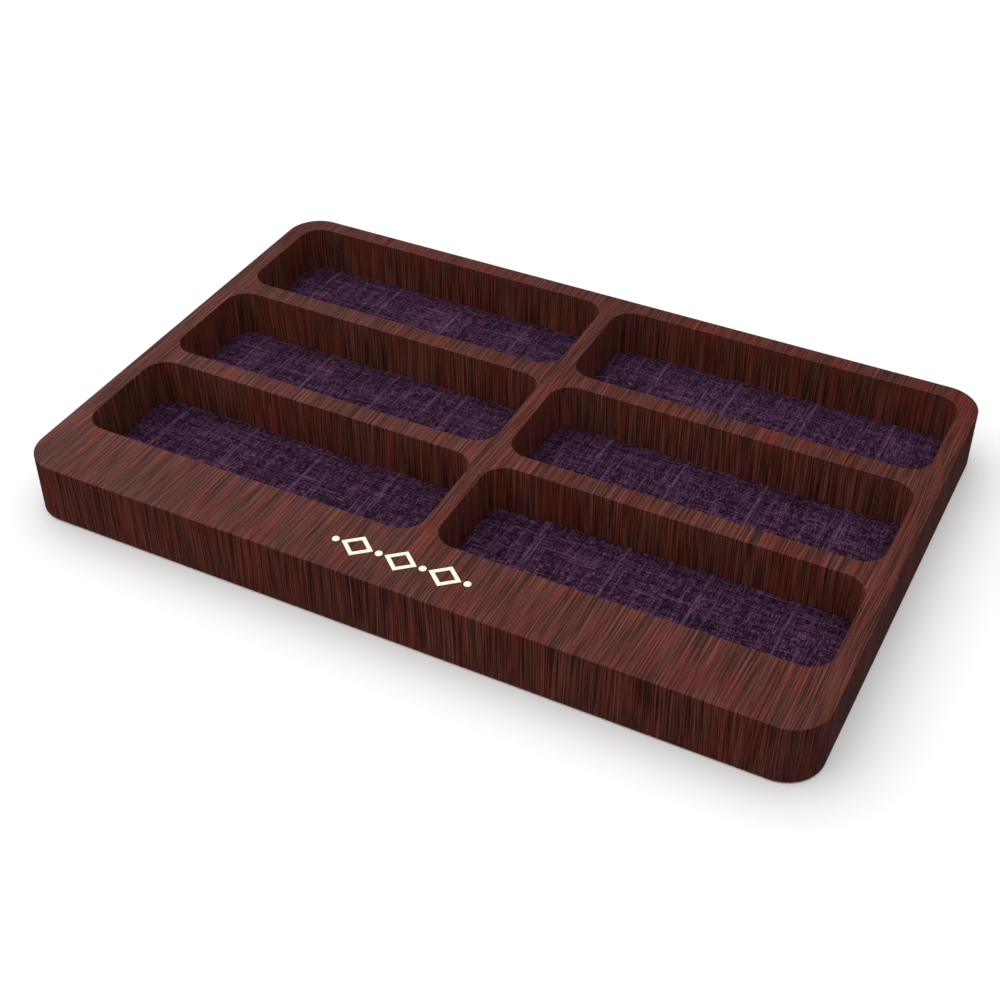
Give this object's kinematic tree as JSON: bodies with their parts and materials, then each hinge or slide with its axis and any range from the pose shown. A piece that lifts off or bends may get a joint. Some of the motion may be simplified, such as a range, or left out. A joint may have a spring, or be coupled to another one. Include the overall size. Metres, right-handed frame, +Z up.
{
  "type": "multi glasses organizer tray",
  "caption": "Low wood-veneered eyewear tray with round-cornered pockets, each floored by a drop-in linen pad that lifts out, with a small brass inlay on its front margin.",
  "frame": {"origin": "centre of the tray's footprint, on the surface that its feet stand on", "axes": "+X to the right along the long side, +Y to the back, away from the wide front margin, +Z up"},
  "size_m": [0.34, 0.22, 0.0275],
  "materials": {
    "veneer": "satin dark red-brown veneer, straight dark and pinkish streaks",
    "board": "raw fibreboard, hidden under the veneers",
    "linen": "dark purple slubby linen weave",
    "card": "grey card stiffener",
    "foam": null,
    "brass": "pale polished brass",
    "rubber": "matte black"
  },
  "bodies": {
    "tray": {"base_board": "board", "core_grid": "board", "top_veneer": "veneer", "bottom_veneer": "veneer", "edge_veneer": "veneer", "pocket_veneer_back_left": "veneer", "pocket_veneer_back_right": "veneer", "pocket_veneer_middle_left": "veneer", "pocket_veneer_middle_right": "veneer", "pocket_veneer_front_left": "veneer", "pocket_veneer_front_right": "veneer", "veneer_island_left": "veneer", "veneer_island_centre": "veneer", "veneer_island_right": "veneer", "inlay_lozenge_left": "brass", "inlay_lozenge_centre": "brass", "inlay_lozenge_right": "brass", "inlay_dot_outer_left": "brass", "inlay_dot_inner_left": "brass", "inlay_dot_inner_right": "brass", "inlay_dot_outer_right": "brass", "rubber_foot_front_left": "rubber", "rubber_foot_front_right": "rubber", "rubber_foot_back_left": "rubber", "rubber_foot_back_right": "rubber"},
    "pad_back_left": {"pad_linen_back_left": "linen", "pad_card_back_left": "card", "pad_foam_back_left": "foam"},
    "pad_back_right": {"pad_linen_back_right": "linen", "pad_card_back_right": "card", "pad_foam_back_right": "foam"},
    "pad_middle_left": {"pad_linen_middle_left": "linen", "pad_card_middle_left": "card", "pad_foam_middle_left": "foam"},
    "pad_middle_right": {"pad_linen_middle_right": "linen", "pad_card_middle_right": "card", "pad_foam_middle_right": "foam"},
    "pad_front_left": {"pad_linen_front_left": "linen", "pad_card_front_left": "card", "pad_foam_front_left": "foam"},
    "pad_front_right": {"pad_linen_front_right": "linen", "pad_card_front_right": "card", "pad_foam_front_right": "foam"}
  },
  "joints": [
    {"name": "lift_pad_back_left", "type": "slide", "parent": "tray", "child": "pad_back_left", "axis": [0, 0, 1], "range_m": [0, 0.04]},
    {"name": "lift_pad_back_right", "type": "slide", "parent": "tray", "child": "pad_back_right", "axis": [0, 0, 1], "range_m": [0, 0.04]},
    {"name": "lift_pad_middle_left", "type": "slide", "parent": "tray", "child": "pad_middle_left", "axis": [0, 0, 1], "range_m": [0, 0.04]},
    {"name": "lift_pad_middle_right", "type": "slide", "parent": "tray", "child": "pad_middle_right", "axis": [0, 0, 1], "range_m": [0, 0.04]},
    {"name": "lift_pad_front_left", "type": "slide", "parent": "tray", "child": "pad_front_left", "axis": [0, 0, 1], "range_m": [0, 0.04]},
    {"name": "lift_pad_front_right", "type": "slide", "parent": "tray", "child": "pad_front_right", "axis": [0, 0, 1], "range_m": [0, 0.04]}
  ]
}
